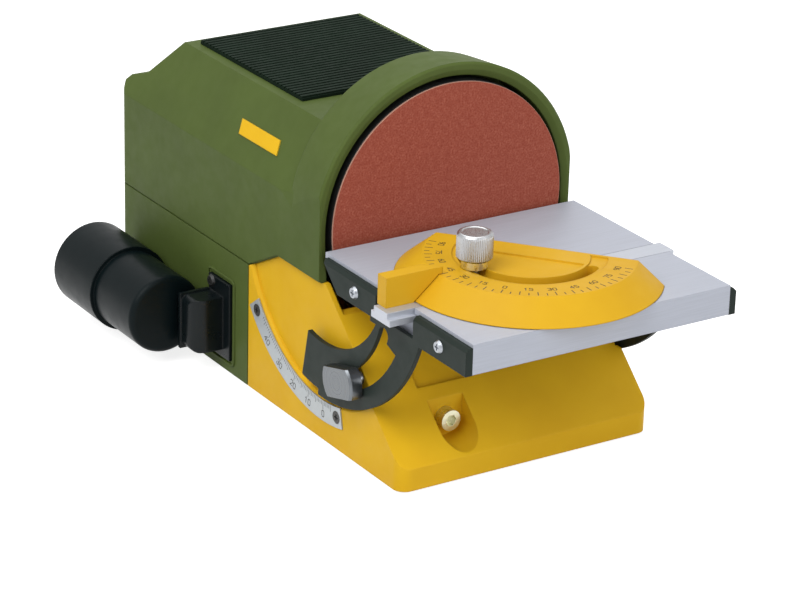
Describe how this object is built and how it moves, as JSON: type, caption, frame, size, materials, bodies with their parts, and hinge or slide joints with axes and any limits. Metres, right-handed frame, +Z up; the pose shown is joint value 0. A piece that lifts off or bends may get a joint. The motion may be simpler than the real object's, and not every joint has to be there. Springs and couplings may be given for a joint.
{
  "type": "benchtop disc sander",
  "caption": "Compact benchtop disc sander with tilting work table, mitre gauge, suction adaptor, belt drive and ribbed rubber mat on its housing.",
  "frame": {"origin": "point on the bench below the abrasive face, on the middle plane", "axes": "+X to the right seen from the front, +Y from the abrasive face to the back, +Z up"},
  "size_m": [0.19, 0.3284, 0.17],
  "materials": {
    "yellow_shell": "moulded, satin",
    "green_shell": "moulded, satin",
    "zinc_steel": "zinc plated",
    "plated_steel": "yellow passivated",
    "foot_rubber": "matt",
    "mat_rubber": "matt, ribbed",
    "black_plastic": "moulded, satin",
    "black_steel": "blackened",
    "scale_aluminium": "satin",
    "cast_aluminium": "as cast",
    "bearing_steel": "ground",
    "disc_black": "satin",
    "abrasive_paper": "grit coated",
    "motor_black": "satin",
    "rotor_copper": "wound",
    "belt_rubber": "matt",
    "board_laminate": "solder mask",
    "switch_plastic": "gloss",
    "rocker_plastic": "gloss",
    "dial_plastic": "satin",
    "table_aluminium": "ground",
    "quadrant_paint": "satin",
    "turned_aluminium": "turned",
    "bar_aluminium": "drawn",
    "gauge_yellow": "satin paint"
  },
  "bodies": {
    "frame": {"front_base": "yellow_shell", "lower_housing": "green_shell", "upper_housing": "green_shell", "tie_strap": "zinc_steel", "front_screw": "plated_steel", "rubber_feet": "foot_rubber", "top_mat": "mat_rubber", "suction_elbow": "black_plastic", "suction_tube": "black_plastic", "suction_screw": "black_steel", "housing_screws": "zinc_steel", "tilt_scale": "scale_aluminium", "scale_screws": "black_steel", "clamp_stud": "zinc_steel", "guide_bolt": "zinc_steel", "bearing_block": "cast_aluminium", "block_screws": "zinc_steel", "bearing_outers": "bearing_steel", "bearing_balls": "bearing_steel", "motor_bracket": "zinc_steel", "motor_can": "motor_black", "motor_bell": "cast_aluminium", "motor_screws": "zinc_steel", "drive_belt": "belt_rubber", "control_board": "board_laminate", "switch_body": "switch_plastic", "speed_pot": "zinc_steel", "cable_gland": "black_plastic"},
    "spindle_unit": {"spindle": "bearing_steel", "bearing_inners": "bearing_steel", "disc_plate": "disc_black", "abrasive_disc": "abrasive_paper", "disc_setscrew": "black_steel", "driven_pulley": "cast_aluminium"},
    "motor_unit": {"motor_shaft": "bearing_steel", "motor_rotor": "rotor_copper", "motor_pulley": "cast_aluminium", "cooling_fan": "black_plastic"},
    "table": {"table_plate": "table_aluminium", "left_quadrant": "quadrant_paint", "right_quadrant": "quadrant_paint", "table_screws": "zinc_steel"},
    "tilt_knob": {"clamp_knob": "turned_aluminium"},
    "gauge_bar": {"slide_bar": "bar_aluminium", "pointer_block": "gauge_yellow", "pointer_screws": "zinc_steel", "mitre_stud": "zinc_steel"},
    "gauge_head": {"protractor_head": "gauge_yellow"},
    "gauge_knob": {"mitre_knob": "turned_aluminium", "knob_collar": "plated_steel"},
    "rocker": {"switch_rocker": "rocker_plastic"},
    "dial": {"speed_dial": "dial_plastic"}
  },
  "joints": [
    {"name": "disc_spin", "type": "hinge", "parent": "frame", "child": "spindle_unit", "pos_m": [0, 0, 0.099], "axis": [0, 1, 0], "continuous": true},
    {"name": "motor_spin", "type": "hinge", "parent": "frame", "child": "motor_unit", "pos_m": [0.018, 0.12, 0.04], "axis": [0, 1, 0], "continuous": true},
    {"name": "table_tilt", "type": "hinge", "parent": "frame", "child": "table", "pos_m": [0, -0.0039, 0.0933], "axis": [1, 0, 0], "range_deg": [-5, 40]},
    {"name": "tilt_knob_turn", "type": "hinge", "parent": "frame", "child": "tilt_knob", "pos_m": [-0.075, -0.03226, 0.04214], "axis": [1, 0, 0], "range_deg": [-150, 30]},
    {"name": "gauge_slide", "type": "slide", "parent": "table", "child": "gauge_bar", "axis": [1, 0, 0], "range_m": [-0.035, 0.035]},
    {"name": "gauge_turn", "type": "hinge", "parent": "gauge_bar", "child": "gauge_head", "pos_m": [-0.0045, -0.0724, 0.098], "axis": [0, 0, 1], "range_deg": [-120, 40]},
    {"name": "gauge_knob_turn", "type": "hinge", "parent": "gauge_bar", "child": "gauge_knob", "pos_m": [-0.0341, -0.0724, 0.112], "axis": [0, 0, 1], "range_deg": [-30, 150]},
    {"name": "rocker_tip", "type": "hinge", "parent": "frame", "child": "rocker", "pos_m": [0.0667, 0.152, 0.034], "axis": [0, 0, 1], "range_deg": [0, 19]},
    {"name": "dial_turn", "type": "hinge", "parent": "frame", "child": "dial", "pos_m": [0.072, 0.122, 0.034], "axis": [1, 0, 0], "range_deg": [0, 270]}
  ],
  "couplings": [
    {"joint": "motor_spin", "follows": "disc_spin", "ratio": 2.7}
  ]
}
